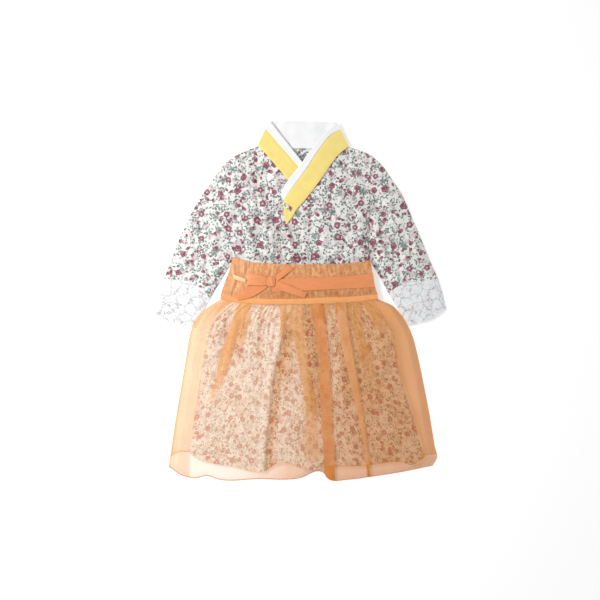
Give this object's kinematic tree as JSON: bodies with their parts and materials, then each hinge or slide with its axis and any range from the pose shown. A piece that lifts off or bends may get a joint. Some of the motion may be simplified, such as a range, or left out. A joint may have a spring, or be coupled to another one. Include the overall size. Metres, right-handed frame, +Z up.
{
  "type": "korean hanbok",
  "caption": "Toddler's Korean hanbok laid flat: floral wrap top with lace cuffs and crossed collar, over a floral skirt under an orange organza overskirt with ribbon belt and bow.",
  "frame": {"origin": "centre of the laid set's bounding box, on the surface that it lies on", "axes": "+Y from the hem to the collar, +X the wearer's left side, +Z up from the surface, out of the front of the garment"},
  "size_m": [0.4678, 0.5734, 0.0165],
  "materials": {
    "print_top": "matt white cotton lawn with a small maroon, pink and grey-green floral print",
    "print_skirt": "matt cotton lawn with the same floral print, seen through orange organza",
    "lace": "matt white cotton lace over the print",
    "white": "matt white plain-woven cotton",
    "yellow": "matt yellow plain-woven cotton",
    "organza": "sheer, slightly lustrous orange organza",
    "organza_waist": "gathered orange organza over the floral cotton",
    "ribbon": "satiny orange ribbon",
    "tab": "pale orange ribbon",
    "piping": "bright orange folded satin strip"
  },
  "bodies": {
    "root": {"back_panel": "print_top", "front_right": "print_top", "front_left": "print_top", "sleeve_right": "print_top", "sleeve_left": "print_top", "closing_tab": "print_top", "cuff_right": "lace", "cuff_left": "lace", "collar_back": "yellow", "collar_right": "yellow", "collar_left": "yellow", "edging_back": "white", "edging_right": "white", "edging_left": "white", "neck_facing": "white", "waistband_front": "organza_waist", "waistband_back": "organza_waist", "piping_front": "piping", "piping_back": "piping", "belt_front": "ribbon", "belt_back": "ribbon", "bow_loop": "ribbon", "bow_knot": "ribbon", "tail_upper": "ribbon", "tail_lower_left": "ribbon", "tail_lower_right": "ribbon", "tie_tab": "tab", "underskirt_front": "print_skirt", "underskirt_back": "print_skirt", "overskirt_front": "organza", "overskirt_back": "organza"}
  },
  "joints": []
}
